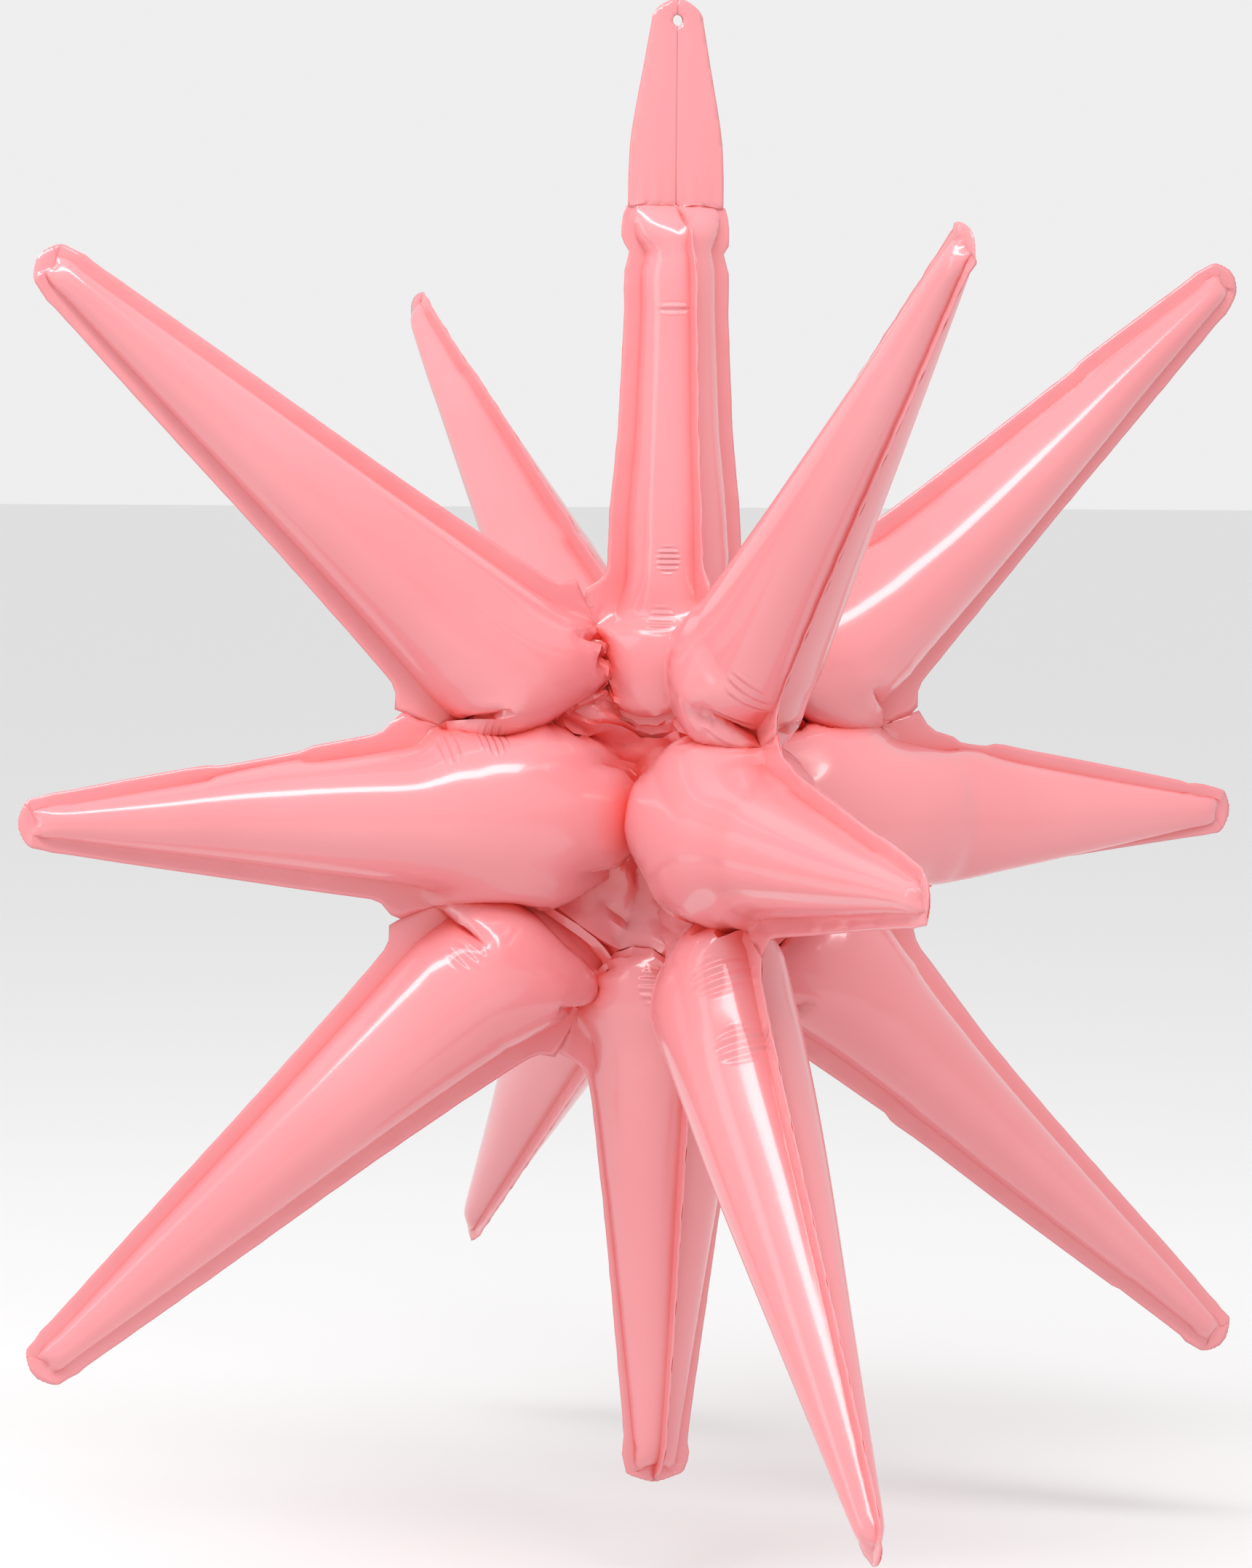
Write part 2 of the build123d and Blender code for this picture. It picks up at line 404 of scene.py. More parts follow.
def mark_seam(film, index, key, names, t):
    """Notes which way the flat seam fin stands at a vertex on the edge of a gore."""
    before, name, after = names
    axis = AXIS[name]
    if key[0] == "notch":
        film.outward[index] = unit(axis + AXIS[before if t == 0 else after])
    elif key[1] == "seam":
        film.outward[index] = across(axis, AXIS[key[2]])
        film.seam_arms[index] = (name, key[2])
        film.fin[index] = SEAM_WIDTH
    elif key[:2] == ("top", "end") and len(key) == 4 and key[3] == 0:
        side = -1.0 if key[2] == "upper_left" else 1.0
        film.outward[index] = np.array([side, 0.0, 0.0])
        film.seam_arms[index] = (name, None)
        film.fin[index] = FOLD_FIN
    elif key[1] == "end" and name != "top":
        lean_a, lean_b = across(axis, AXIS[before]), across(axis, AXIS[after])
        side = lean_a if t < 0.5 else lean_b
        spread = math.cos(math.pi * t) if t < 0.5 else -math.cos(math.pi * t)
        if is_end_arm(name):
            first_is_ring = before.endswith(("left", "right"))
            side = lean_a if first_is_ring else lean_b
            spread = 1 - t if first_is_ring else t
            spread = math.sin(math.pi / 2 * spread)
        ahead = math.sqrt(max(0.0, 1 - spread ** 2))
        film.outward[index] = unit(side * spread + axis * ahead + axis * 1e-3)
        film.seam_arms[index] = (name, None)
        film.fin[index] = SEAM_WIDTH + TIP_FIN * (1 - spread)


def stitch_rows(film, gore_index, row, next_row):
    """Triangles between two rows of film, which may have different numbers of columns."""
    i = 0
    j = 0
    while i < len(row) - 1 or j < len(next_row) - 1:
        if i == len(row) - 1:
            use_next = True
        elif j == len(next_row) - 1:
            use_next = False
        else:
            use_next = next_row[j + 1][2] + next_row[j][2] <= row[i][2] + row[i + 1][2] + 1e-9
        if use_next:
            corners = (row[i], next_row[j], next_row[j + 1])
            j += 1
        else:
            corners = (row[i], next_row[j], row[i + 1])
            i += 1
        film.triangles.append([c[0] for c in corners])
        film.flat.append([c[1] for c in corners])
        film.gore.append(gore_index)


def turn_all_outward(film):
    """Gives every triangle the same way round on the flat pattern."""
    a = film.flat[:, 1] - film.flat[:, 0]
    b = film.flat[:, 2] - film.flat[:, 0]
    flipped = a[:, 0] * b[:, 1] - a[:, 1] * b[:, 0] < 0
    film.triangles[flipped] = film.triangles[flipped][:, [0, 2, 1]]
    film.flat[flipped] = film.flat[flipped][:, [0, 2, 1]]


def split_edges(triangles):
    """Every edge once, and for each triangle's three sides the number of its edge."""
    edges = np.concatenate([triangles[:, [0, 1]], triangles[:, [1, 2]], triangles[:, [2, 0]]])
    return np.unique(np.sort(edges, axis=1), axis=0, return_inverse=True)


def rest_lengths(film):
    edges, inverse = split_edges(film.triangles)
    flat = film.flat
    lengths = np.concatenate([np.linalg.norm(flat[:, a] - flat[:, b], axis=1)
                              for a, b in ((0, 1), (1, 2), (2, 0))])
    inverse = inverse.ravel()
    return edges, np.bincount(inverse, lengths) / np.bincount(inverse)


def refine(film):
    """Splits every triangle in four. The new vertices take their facts from their edge's ends."""
    edges, inverse = split_edges(film.triangles)
    middle = inverse.ravel().reshape(3, -1).T + len(film.places)
    fine = Film()
    fine.notches = film.notches
    fine.places = np.concatenate([film.places, film.places[edges].mean(axis=1)])
    a, b, c = film.triangles.T
    ab, bc, ca = middle.T
    fine.triangles = np.concatenate([np.stack(t, 1) for t in
                                     ((a, ab, ca), (ab, b, bc), (ca, bc, c), (ab, bc, ca))])
    fa, fb, fc = film.flat[:, 0], film.flat[:, 1], film.flat[:, 2]
    fab, fbc, fca = (fa + fb) / 2, (fb + fc) / 2, (fc + fa) / 2
    fine.flat = np.concatenate([np.stack(t, 1) for t in
                                ((fa, fab, fca), (fab, fb, fbc), (fca, fbc, fc), (fab, fbc, fca))])
    fine.gore = np.tile(film.gore, 4)
    fine.arms = list(film.arms)
    fine.along = list(film.along)
    fine.outward = list(film.outward)
    fine.seam_arms = list(film.seam_arms)
    fine.fin = list(film.fin)
    for i, j in edges.tolist():
        fine.arms.append(film.arms[i] & film.arms[j] or film.arms[i])
        fine.along.append((film.along[i] + film.along[j]) / 2)
        on_seam = film.outward[i] is not None and film.outward[j] is not None
        fine.outward.append(unit(film.outward[i] + film.outward[j]) if on_seam else None)
        fine.seam_arms.append(film.seam_arms[i] or film.seam_arms[j])
        fine.fin.append(max(film.fin[i], film.fin[j]))
    return fine


# ---------- Inflation
def colour_edges(edges, count):
    """Groups edges so that no two in a group share a vertex, which lets a group move at once."""
    used = [0] * count
    colours = np.zeros(len(edges), int)
    for k, (i, j) in enumerate(edges.tolist()):
        taken = used[i] | used[j]
        colour = 0
        while taken >> colour & 1:
            colour += 1
        colours[k] = colour
        used[i] |= 1 << colour
        used[j] |= 1 << colour
    return [np.nonzero(colours == c)[0] for c in range(colours.max() + 1)]


class Inflation:
    """Film that is blown up step by step: its edges shorten easily and hardly stretch."""

    def __init__(self, film, hold):
        self.film = film
        self.hold = hold
        self.place = film.places.copy()
        self.speed = np.zeros_like(self.place)
        self.edges, self.length = rest_lengths(film)
        self.groups = colour_edges(self.edges, len(self.place))
        a = film.flat[:, 1] - film.flat[:, 0]
        b = film.flat[:, 2] - film.flat[:, 0]
        area = np.abs(a[:, 0] * b[:, 1] - a[:, 1] * b[:, 0]) / 2
        self.mass = sum(np.bincount(film.triangles[:, k], area / 3, minlength=len(self.place))
                        for k in range(3))
        self.neighbours = np.bincount(self.edges.ravel(), minlength=len(self.place)).astype(float)
        self.contacts = self.bulb_contacts()

    def bulb_contacts(self):
        """The film of one arm stays outside the rounded cones of the others."""
        along = np.array(self.film.along)
        shared = np.array([len(a) for a in self.film.arms])
        contacts = []
        for name in ARMS:
            mine = np.array([name in a for a in self.film.arms])
            near = np.zeros(len(along), bool)
            for other in ARMS:
                if other != name and AXIS[name] @ AXIS[other] > NEAR_ARMS:
                    near |= np.array([other in a for a in self.film.arms])
            chosen = near & ~mine & (along < kind(name).root_film + CONTACT_RANGE) & (shared <= 2)
            centre, radius = kind(name).bulb
            contacts.append((np.nonzero(chosen)[0], AXIS[name], centre, radius))
        return contacts

    def push(self):
        """Air pressure on the film, for each vertex by the flat area that it carries."""
        t = self.film.triangles
        p = self.place
        faces = np.cross(p[t[:, 1]] - p[t[:, 0]], p[t[:, 2]] - p[t[:, 0]])
        total = np.zeros_like(p)
        for k in range(3):
            for c in range(3):
                total[:, c] += np.bincount(t[:, k], faces[:, c], minlength=len(p))
        return total / 6 / self.mass[:, None]

    def step(self, pressure, give, smooth, grown=1.0, sweeps=2, drag=0.95):
        """One step. give is how fast an edge that is too short lengthens again."""
        give = np.broadcast_to(give, len(self.edges))
        start = self.place
        place = start + self.speed * drag + pressure * self.push()
        for _ in range(sweeps):
            for group in self.groups:
                i = self.edges[group, 0]
                j = self.edges[group, 1]
                line = place[j] - place[i]
                now = np.sqrt((line * line).sum(1)) + 1e-9
                change = (now - self.length[group]) / now
                change = np.where(change > 0, change, change * give[group]) / 2
                place[i] += line * change[:, None]
                place[j] -= line * change[:, None]
            for chosen, axis, centre, radius in self.contacts:
                near = place[chosen]
                ahead = near @ axis
                away = near - np.outer(np.maximum(ahead, centre), axis)
                distance = np.sqrt((away * away).sum(1)) + 1e-9
                limit = grown * (radius - ARM_SLOPE * np.maximum(ahead - ROOT_END, 0))
                inside = distance < limit
                shift = away[inside] * (limit[inside] / distance[inside] - 1)[:, None]
                place[chosen[inside]] += shift
        place = place + smooth * self.to_neighbours(place)
        self.hold(place)
        self.speed = place - start
        self.place = place

    def to_neighbours(self, place):
        """From each vertex to the mean of its neighbours."""
        total = np.zeros_like(place)
        first, second = self.edges.T
        for c in range(3):
            total[:, c] = np.bincount(first, place[second, c], minlength=len(place))
            total[:, c] += np.bincount(second, place[first, c], minlength=len(place))
        return total / self.neighbours[:, None] - place


def flat_seams(film):
    """Keeps every seam in the plane of its two arms, so that no arm twists."""
    seams = [(i, pair) for i, pair in enumerate(film.seam_arms) if pair and pair[1]]
    chosen = np.array([i for i, _ in seams])
    normals = np.array([unit(np.cross(AXIS[a], AXIS[b])) for _, (a, b) in seams])

    def hold(place):
        off = (place[chosen] * normals).sum(axis=1)
        place[chosen] -= SEAM_HOLD * off[:, None] * normals
    return hold


def straight_arms(film, grid):
    """Keeps each arm's rows centred on its axis, so that the arms stand straight."""
    rows = []
    for name in ARMS:
        notch = kind(name).root_film
        chosen = np.array([i for i, a in enumerate(film.arms)
                           if name in a and film.along[i] > notch + ARM_HOLD_START])
        ring = np.array([int(round((film.along[i] - notch) / grid)) for i in chosen])
        rows.append((AXIS[name], chosen, ring - ring.min()))

    def hold(place):
        for axis, chosen, ring in rows:
            away = place[chosen] - np.outer(place[chosen] @ axis, axis)
            count = np.maximum(np.bincount(ring), 1)
            middle = np.stack([np.bincount(ring, away[:, c]) / count for c in range(3)], 1)
            place[chosen] -= ARM_HOLD * middle[ring]
    return hold


def notch_place(pair):
    """The point in the seam plane that stands just off the cones of two neighbouring arms."""
    a, b = sorted(pair)
    radius_a = (kind(a).bulb[1] if a == "top" else ROOT_RADIUS) + NOTCH_MARGIN
    radius_b = (kind(b).bulb[1] if b == "top" else ROOT_RADIUS) + NOTCH_MARGIN
    between = math.acos(AXIS[a] @ AXIS[b])
    from_a = math.atan2(math.sin(between), radius_b / radius_a + math.cos(between))
    distance = radius_a / math.sin(from_a)
    return distance * (AXIS[a] * math.cos(from_a) + across(AXIS[a], AXIS[b]) * math.sin(from_a))


def seam_normal(a, b, gore):
    """Unit direction square to the seam plane of two arms, on a gore's side of it."""
    normal = unit(np.cross(AXIS[a], AXIS[b]))
    return normal if normal @ gore_diagonal(gore) > 0 else -normal


def bulb_meeting(pair, gore):
    """The point between the bulbs of two arms, moved out of the seam plane towards a gore."""
    a, b = sorted(pair)
    centre_a, radius_a = kind(a).bulb
    centre_b, radius_b = kind(b).bulb
    middle_a = AXIS[a] * centre_a
    middle_b = AXIS[b] * centre_b
    share = radius_a / (radius_a + radius_b)
    apart = np.linalg.norm(middle_b - middle_a)
    if is_end_arm(a):
        share = radius_a / apart
    elif is_end_arm(b):
        share = 1 - radius_b / apart
    return middle_a + (middle_b - middle_a) * share + seam_normal(a, b, gore) * CREASE_OUT


def outside_bulbs(place, clearance=1.0):
    """Moves a point out of the bulbs that it would lie in."""
    for name in ARMS:
        centre, radius = kind(name).bulb
        away = place - AXIS[name] * max(place @ AXIS[name], centre)
        distance = np.linalg.norm(away)
        if 1e-6 < distance < radius + clearance:
            place = place + away * ((radius + clearance) / distance - 1)
    return place


def crease_place(pair, gore, depth):
    """A point on the crease between two arms, a length of film in from their notch."""
    meeting = bulb_meeting(pair, gore)
    if depth <= CREASE_DEPTH:
        share = depth / CREASE_DEPTH
        return (1 - share) * notch_place(pair) + share * meeting
    share = ((depth - CREASE_DEPTH) / (ROOT_DEPTH - CREASE_DEPTH)) ** CREASE_TURN
    pocket = gore_diagonal(gore) * POCKET
    a, b = sorted(pair)
    bend = unit(AXIS[a] + AXIS[b]) * HUB_BEND + seam_normal(a, b, gore) * CREASE_OUT
    place = (1 - share) ** 2 * meeting + 2 * share * (1 - share) * bend + share ** 2 * pocket
    return outside_bulbs(place)


def bulb_end_place(film, key, gore, index):
    """A point on the round inner end of the top or bottom arm's bulb, or None elsewhere on it."""
    name = key[1]
    notch = kind(name).root_film
    centre, radius = kind(name).bulb
    turned = (centre - kind(name).notch + notch - film.along[index]) / radius
    if not BULB_END[0] < turned < BULB_END[1]:
        return None
    ring = GORES[gore]
    k = ring.index(name)
    side_a = across(AXIS[name], AXIS[ring[k - 1]])
    side_b = across(AXIS[name], AXIS[ring[(k + 1) % 8]])
    columns = max(1, int(round(arm_width(name, film.along[index]) / GRID)))
    angle = math.pi / 2 * key[3] / columns
    sideways = math.cos(angle) * side_a + math.sin(angle) * side_b
    return AXIS[name] * (centre - radius * math.sin(turned)) + sideways * radius * math.cos(turned)


def crease_targets(film):
    """Places that draw creases in between the bulbs, and the middle of each gore to a pocket."""
    gores = list(GORES)
    chosen = []
    places = []
    strengths = []
    for key, index in film.keys.items():
        strength = CREASE_HOLD
        if key[0] == "notch":
            place = notch_place(key[1])
        elif isinstance(key[0], int) and len(key) == 2:
            place = gore_diagonal(gores[key[0]]) * POCKET
        elif isinstance(key[0], int) and isinstance(key[1], frozenset):
            depth = ROOT_DEPTH * (1 - key[2] / ROOT_ROWS)
            place = crease_place(key[1], gores[key[0]], depth)
        elif isinstance(key[0], int) and key[1] in UPRIGHT:
            place = bulb_end_place(film, key, gores[key[0]], index)
            if place is None:
                continue
            strength = BULB_END_HOLD
        elif isinstance(key[0], int) and is_slanting(key[1]) and film.along[index] < WEB_START:
            gore = gores[key[0]]
            ring = GORES[gore]
            k = ring.index(key[1])
            depth = ROOT_DEPTH * (1 - key[2] / ROOT_ROWS)
            columns = max(2.0, arm_width(key[1], film.along[index]) / GRID)
            share = min(1.0, key[3] / columns)
            before = crease_place((key[1], ring[k - 1]), gore, depth)
            after = crease_place((key[1], ring[(k + 1) % 8]), gore, depth)
            place = outside_bulbs((1 - share) * before + share * after)
            strength = WEB_HOLD
        else:
            continue
        chosen.append(index)
        places.append(place)
        strengths.append(strength)
    return np.array(chosen), np.array(places), np.array(strengths)[:, None]


def neck_targets(film):
    """The top arm ends flat, along the fold."""
    chosen = []
    places = []
    ends = [(key, index) for key, index in film.keys.items() if key[:2] == ("top", "end")]
    steps = max(key[3] for key, _ in ends if len(key) == 4) + 1
    for key, index in ends:
        share = 0.0 if key[2] == "middle" else 1 - key[3] / steps
        side = -1.0 if key[2] == "upper_left" else 1.0
        chosen.append(index)
        places.append((side * share * NECK_HALF_WIDTH, 0.0, TOP_REACH))
    return np.array(chosen), np.array(places)


def crumple_web(run):
    """Makes film round the middle of each gore too long for its place, so that it buckles.
    Returns how fast each edge may lengthen."""
    film = run.film
    along = np.array(film.along)
    slanting = np.array([any(is_slanting(name) for name in arms) for arms in film.arms])
    inner = np.where(slanting, along < WEB_START, along < WEB_START / 3)
    loose = inner[run.edges[:, 0]] & inner[run.edges[:, 1]]
    run.length = np.where(loose, run.length * (1 + CRUMPLE), run.length)
    run.place = run.place + RANDOM.normal(0, CRUMPLE_JITTER, run.place.shape) * inner[:, None]
    return np.where(loose, LOOSE_GIVE, TIGHT_GIVE)


def inflate():
    """Blows up the coarse film, then a finer one, whose web buckles into small folds."""
    film = lay_out_pattern(GRID)
    film.notches = {key[1]: index for key, index in film.keys.items() if key[0] == "notch"}
    straighten = straight_arms(film, GRID)
    flatten = flat_seams(film)
    creases, crease_places, crease_strengths = crease_targets(film)
    neck, neck_places = neck_targets(film)

    def hold(place):
        straighten(place)
        flatten(place)
        place[creases] += (crease_places - place[creases]) * crease_strengths
        place[neck] += (neck_places - place[neck]) * NECK_HOLD

    run = Inflation(film, hold)
    for stage, (pressure, steps) in enumerate(STAGES):
        for k in range(steps):
            grown = 1.0
            if stage == 0:
                grown = min(1.0, GROWN_FROM + (1 - GROWN_FROM) * k / GROWN_AFTER)
            run.step(pressure, give=0.05, smooth=0.02, grown=grown)
    film.places = run.place
    fine = refine(film)
    straighten_fine = straight_arms(fine, GRID / 2)
    flatten_fine = flat_seams(fine)

    def hold_fine(place):
        straighten_fine(place)
        flatten_fine(place)
        place[creases] += (crease_places - place[creases]) * crease_strengths * FINE_CREASE_SHARE
        place[neck] += (neck_places - place[neck]) * NECK_HOLD

    run = Inflation(fine, hold_fine)
    give = crumple_web(run)
    pressure, steps = FINE_STAGE
    for _ in range(steps):
        run.step(pressure, give=give, smooth=0.025)
    fine.places = run.place
    return fine


# ---------- Meshes
def fin_width(film, index):
    """Width of the seam fin at a vertex, wider near a notch, where it fills the corner."""
    pair = film.seam_arms[index]
    if pair is None:
        return 0.0
    if pair[1] is None:
        return film.fin[index]
    name, other = pair
    place = film.places[index]
    apart = unit(AXIS[name] - AXIS[other])
    notch = film.places[film.notches[frozenset(pair)]]
    room = ((place - notch) @ apart) / max(1e-6, -(film.outward[index] @ apart))
    past_notch = np.linalg.norm(place - notch)
    half_opening = math.radians(VALLEY_HALF_ANGLE)
    tangent = VALLEY_FILLET / math.tan(half_opening) + SEAM_WIDTH / math.tan(half_opening)
    ahead = min(max(tangent - past_notch, 0.0), VALLEY_FILLET * VALLEY_LIMIT)
    width = SEAM_WIDTH + VALLEY_FILLET - math.sqrt(VALLEY_FILLET ** 2 - ahead ** 2)
    below_fold = TOP_REACH - place[2]
    if name == "top" and below_fold < NECK_COLLAR:
        if other.endswith(("front", "rear")):
            width *= max(0.0, below_fold / NECK_COLLAR)
        else:
            corner = min(1.0, max(0.0, below_fold) / COLLAR_CORNER) ** 0.5
            width = min(width, TAB_WIDTH / 2 + COLLAR_SPREAD * corner - abs(place[0]))
    return max(0.0, min(width, room))


def seam_loop(film, gore_index):
    """Vertices round the edge of one gore, in order."""
    triangles = film.triangles[film.gore == gore_index]
    after = {}
    directed = np.concatenate([triangles[:, [0, 1]], triangles[:, [1, 2]], triangles[:, [2, 0]]])
    present = set(map(tuple, directed.tolist()))
    for a, b in present:
        if (b, a) not in present:
            after[a] = b
    start = min(after)
    loop = [start]
    while after[loop[-1]] != start:
        loop.append(after[loop[-1]])
    return loop


def gore_mesh(film, gore_index, gore):
    """Points and faces of one gore, with its share of the flat seam along its whole edge."""
    triangles = film.triangles[film.gore == gore_index]
    used = np.unique(triangles)
    renumber = {int(v): k for k, v in enumerate(used)}
    points = [film.places[v] for v in used]
    faces = [[renumber[v] for v in t] for t in triangles.tolist()]
    facing = gore_diagonal(gore)
    loop = seam_loop(film, gore_index)
    ripple, short_wave, long_wave = FIN_WAVE
    strip = []
    travelled = 0.0
    for k, v in enumerate(loop):
        place = film.places[v]
        travelled += np.linalg.norm(place - film.places[loop[k - 1]])
        if film.outward[v] is None:
            strip.append(None)
            continue
        width = fin_width(film, v)
        outward = film.outward[v]
        along = unit(film.places[loop[(k + 1) % len(loop)]] - film.places[loop[k - 1]])
        normal = np.cross(outward, along)
        normal = unit(normal) if np.linalg.norm(normal) > 0.2 else facing
        normal = normal if normal @ facing > 0 else -normal
        wave = math.sin(travelled / short_wave + gore_index) * math.sin(travelled / long_wave)
        ids = [renumber[v]]
        for c in range(1, FIN_COLUMNS + 1):
            share = c / FIN_COLUMNS
            off_seam = 0.5 * FILM + ripple * wave * share
            ids.append(len(points))
            points.append(place + outward * width * share + normal * off_seam)
        strip.append(ids)
    for k in range(len(strip)):
        a, b = strip[k - 1], strip[k]
        if a is None or b is None:
            continue
        for c in range(FIN_COLUMNS):
            faces.append([b[c], a[c], a[c + 1], b[c + 1]])
    points = np.array(points)
    points[:, 2] = np.minimum(points[:, 2], TOP_REACH - FOLD_ROOM)
    pressed = np.clip((TOP_REACH - points[:, 2]) / COLLAR_PRESS, 0.0, 1.0)
    points[:, 1] *= np.sqrt(pressed)
    return (points + CENTRE) * MM, faces


def add_mesh(name, points, faces, material, smooth_angle=50.0):
    mesh = bpy.data.meshes.new(name)
    mesh.from_pydata(np.asarray(points).tolist(), [], faces)
    mesh.validate()
    mesh.polygons.foreach_set("use_smooth", [True] * len(mesh.polygons))
    mesh.set_sharp_from_angle(angle=math.radians(smooth_angle))
    mesh.materials.append(material)
    piece = bpy.data.objects.new(name, mesh)
    bpy.context.scene.collection.objects.link(piece)
    return piece


def tab_half_width(z):
    """Half width of the hanging tab at a height, from its tapering sides to its round top."""
    crown_half, crown_z = TAB_CROWN[0] / 2, TAB_CROWN[1]
    if z >= crown_z:
        rise = (z - crown_z) / (TAB_TOP_Z - crown_z)
        return crown_half * max(0.0, 1 - rise ** 2) ** TAB_CROWN_POWER
    heights = [height for height, _ in TAB_SIDES] + [crown_z]
    half_widths = [half_width for _, half_width in TAB_SIDES] + [crown_half]
    return float(np.interp(z, heights, half_widths))


def tab_outline():
    """Outline of one half of the tab, on the side of positive x, round the hole."""
    steps = 14
    side = [(tab_half_width(z), z) for z in np.linspace(TAB_LAP_Z, TAB_CROWN[1], 30)]
    crown = []
    for k in range(1, steps + 1):
        z = TAB_CROWN[1] + (TAB_TOP_Z - TAB_CROWN[1]) * math.sin(math.pi / 2 * k / steps)
        crown.append((tab_half_width(z), z))
    hole = [(HOLE_RADIUS * math.cos(a), HOLE_RADIUS * math.sin(a))
            for a in np.linspace(math.pi / 2, -math.pi / 2, steps)]
    centre_line = [(0.0, z) for z in np.linspace(-6, TAB_LAP_Z, 26)]
    return side + crown + hole + centre_line


def tab_film(side, face):
    """Points and triangles of one quarter of the tab. side is -1 for left, face -1 for front."""
    outline = tab_outline()
    inside = []
    for z in np.arange(TAB_LAP_Z + 1.5, TAB_TOP_Z - 1.5, TAB_GRID):
        for x in np.arange(1.2, tab_half_width(z) - 1.0, TAB_GRID):
            if math.hypot(x, z) > HOLE_RADIUS + 1.0:
                inside.append((x, z))
    flat = [Vector(p) for p in outline + inside]
    border = [list(range(len(outline)))]
    places, _, faces, _, _, _ = geometry.delaunay_2d_cdt(flat, [], border, 1, 1e-5)
    points = [(side * x, face * tab_depth(side, x, z), z) for x, z in places]
    if side * face > 0:
        faces = [list(reversed(f)) for f in faces]
    return np.array(points) * MM, [list(f) for f in faces]


def tab_depth(side, x, z):
    """How far the film of the tab stands off its middle plane: a groove on the centre seam,
    slack film between the seams, and creases where it runs into the fold."""
    across_tab = x / max(tab_half_width(z), 0.1)
    groove = 1 - math.exp(-x / TAB_GROOVE)
    slack_film = TAB_SLACK * math.sin(math.pi * min(1.0, across_tab)) * groove
    crease_depth, crease_height = TAB_CREASES
    near_fold = max(0.0, 1 - (z - FOLD_Z) / crease_height)
    crease = crease_depth * math.sin(x * 0.9 + side * 1.3) * near_fold ** 1.5
    return TAB_HALF_GAP + slack_film * (0.5 + 0.9 * near_fold) + crease * groove


def add_tab():
    for face, front in ((-1, "front"), (1, "rear")):
        for side, hand in ((-1, "left"), (1, "right")):
            points, faces = tab_film(side, face)
            piece = add_mesh("tab_film_" + front + "_" + hand, points, faces, FOIL)
            thicken(piece)
            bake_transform(piece)
            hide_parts("tab_" + front + "_" + hand)


def thicken(piece):
    shell = piece.modifiers.new("thickness", "SOLIDIFY")
    shell.thickness = FILM * MM
    shell.offset = 0.0


# ---------- Materials
def new_material(name):
    material = bpy.data.materials.new(name)
    material.use_nodes = True
    return material, material.node_tree.nodes, material.node_tree.links


def add_node(nodes, kind_of_node, values):
    node = nodes.new("ShaderNode" + kind_of_node)
    for name, value in values.items():
        node.inputs[name].default_value = value
    return node


def add_maths(nodes, kind_of_node, operation, second=None):
    node = nodes.new("ShaderNode" + kind_of_node)
    node.operation = operation
    if second is not None:
        node.inputs[1].default_value = second
    return node


def add_pleats(nodes, links, place, middle, spread, along, period):
    """A patch of fine parallel pleats: a height that fades out round its middle, in metres."""
    centre = add_maths(nodes, "VectorMath", "SUBTRACT", middle)
    scaled = add_maths(nodes, "VectorMath", "DIVIDE", spread)
    distance = add_maths(nodes, "VectorMath", "LENGTH")
    fade = add_node(nodes, "MapRange", {"From Min": 1.0, "From Max": 0.6})
    fade.interpolation_type = "SMOOTHSTEP"
    waves = Vector(along).normalized() * (2 * math.pi / period)
    dot = add_maths(nodes, "VectorMath", "DOT_PRODUCT", waves)
    wave = add_maths(nodes, "Math", "SINE")
    height = add_maths(nodes, "Math", "MULTIPLY")
    links.new(place.outputs["Object"], centre.inputs[0])
    links.new(centre.outputs[0], scaled.inputs[0])
    links.new(scaled.outputs[0], distance.inputs[0])
    links.new(distance.outputs["Value"], fade.inputs["Value"])
    links.new(centre.outputs[0], dot.inputs[0])
    links.new(dot.outputs["Value"], wave.inputs[0])
    links.new(wave.outputs[0], height.inputs[0])
    links.new(fade.outputs["Result"], height.inputs[1])
    return height.outputs[0]


def arm_point(name, distance, turn, radius):
    """A point on an arm's surface, in metres. turn is in degrees round the axis, from the front."""
    axis = AXIS[name]
    start = across(axis, np.array((0.0, -1.0, 0.0)))
    side = np.cross(axis, start)
    angle = math.radians(turn)
    outward = start * math.cos(angle) + side * math.sin(angle)
    return Vector((CENTRE + axis * distance + radius * outward) * MM)


PLEATS = (
    # arm, distance out, turn, arm radius, half length and half width of the patch, all in
    # millimetres and degrees, and the pleats' period in metres
    ("top", 116.0, -27.0, 29.0, 10.0, 9.0, 0.0026),
    ("top", 91.0, -34.0, 32.0, 10.0, 10.0, 0.0028),
    ("top", 228.0, -24.0, 20.5, 4.0, 10.0, 0.0040),
    ("bottom", 76.0, 30.0, 37.0, 12.0, 9.0, 0.0036),
    ("left", 92.0, 60.0, 38.0, 9.0, 12.0, 0.0030),
    ("left", 112.0, 60.0, 37.0, 7.0, 12.0, 0.0038),
    ("upper_front", 128.0, -25.0, 34.0, 5.0, 22.0, 0.0052),
    ("upper_front", 104.0, -28.0, 36.0, 5.0, 20.0, 0.0052),
    ("lower_front", 118.0, 28.0, 36.0, 6.0, 24.0, 0.0060),
    ("lower_front", 152.0, 26.0, 34.0, 6.0, 24.0, 0.0064),
    ("lower_left", 118.0, 40.0, 38.0, 12.0, 14.0, 0.0050),
)


